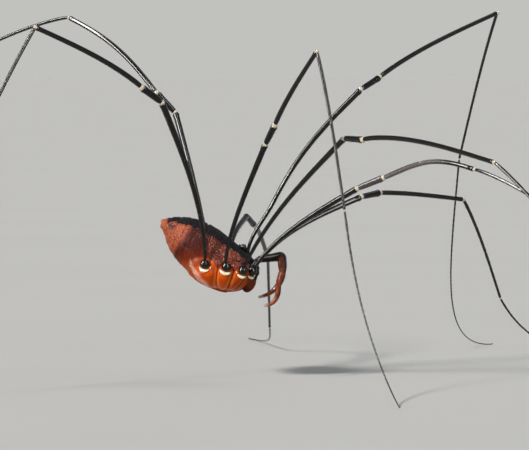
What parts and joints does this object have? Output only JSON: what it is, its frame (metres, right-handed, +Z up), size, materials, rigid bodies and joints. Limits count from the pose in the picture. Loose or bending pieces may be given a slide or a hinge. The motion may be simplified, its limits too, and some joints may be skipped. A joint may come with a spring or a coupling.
{
  "type": "harvestman",
  "caption": "Life-size still harvestman: small red-orange granular body with a dark back, on very long thin black legs.",
  "frame": {"origin": "middle of the footprint box of all eight feet, at floor level", "axes": "+X forward, the way the head points; +Y the animal's left; +Z up"},
  "size_m": [0.0772, 0.0794, 0.025],
  "materials": {
    "abdomen": "granular cuticle, red-orange with a blue-black band along the back",
    "prosoma": "smooth orange coxae under a granular dark red-brown carapace, cream crescents at the hips",
    "leg": "glossy black cuticle with fine spinules and pale rings at the knees",
    "palp": "glossy orange-brown cuticle, darker on the femur",
    "eye": "polished black"
  },
  "bodies": {
    "root": {"Abdomen": "abdomen", "Chelicera_L": "palp", "Chelicera_R": "palp", "Eye_L": "eye", "Eye_R": "eye", "LegL1_Femur": "leg", "LegL1_Metatarsus": "leg", "LegL1_Patella": "leg", "LegL1_Tarsus": "leg", "LegL1_Tibia": "leg", "LegL1_Trochanter": "leg", "LegL2_Femur": "leg", "LegL2_Metatarsus": "leg", "LegL2_Patella": "leg", "LegL2_Tarsus": "leg", "LegL2_Tibia": "leg", "LegL2_Trochanter": "leg", "LegL3_Femur": "leg", "LegL3_Metatarsus": "leg", "LegL3_Patella": "leg", "LegL3_Tarsus": "leg", "LegL3_Tibia": "leg", "LegL3_Trochanter": "leg", "LegL4_Femur": "leg", "LegL4_Metatarsus": "leg", "LegL4_Patella": "leg", "LegL4_Tarsus": "leg", "LegL4_Tibia": "leg", "LegL4_Trochanter": "leg", "LegR1_Femur": "leg", "LegR1_Metatarsus": "leg", "LegR1_Patella": "leg", "LegR1_Tarsus": "leg", "LegR1_Tibia": "leg", "LegR1_Trochanter": "leg", "LegR2_Femur": "leg", "LegR2_Metatarsus": "leg", "LegR2_Patella": "leg", "LegR2_Tarsus": "leg", "LegR2_Tibia": "leg", "LegR2_Trochanter": "leg", "LegR3_Femur": "leg", "LegR3_Metatarsus": "leg", "LegR3_Patella": "leg", "LegR3_Tarsus": "leg", "LegR3_Tibia": "leg", "LegR3_Trochanter": "leg", "LegR4_Femur": "leg", "LegR4_Metatarsus": "leg", "LegR4_Patella": "leg", "LegR4_Tarsus": "leg", "LegR4_Tibia": "leg", "LegR4_Trochanter": "leg", "PalpFemur_L": "palp", "PalpFemur_R": "palp", "PalpTarsus_L": "palp", "PalpTarsus_R": "palp", "PalpTibia_L": "palp", "PalpTibia_R": "palp", "Prosoma": "prosoma"}
  },
  "joints": []
}
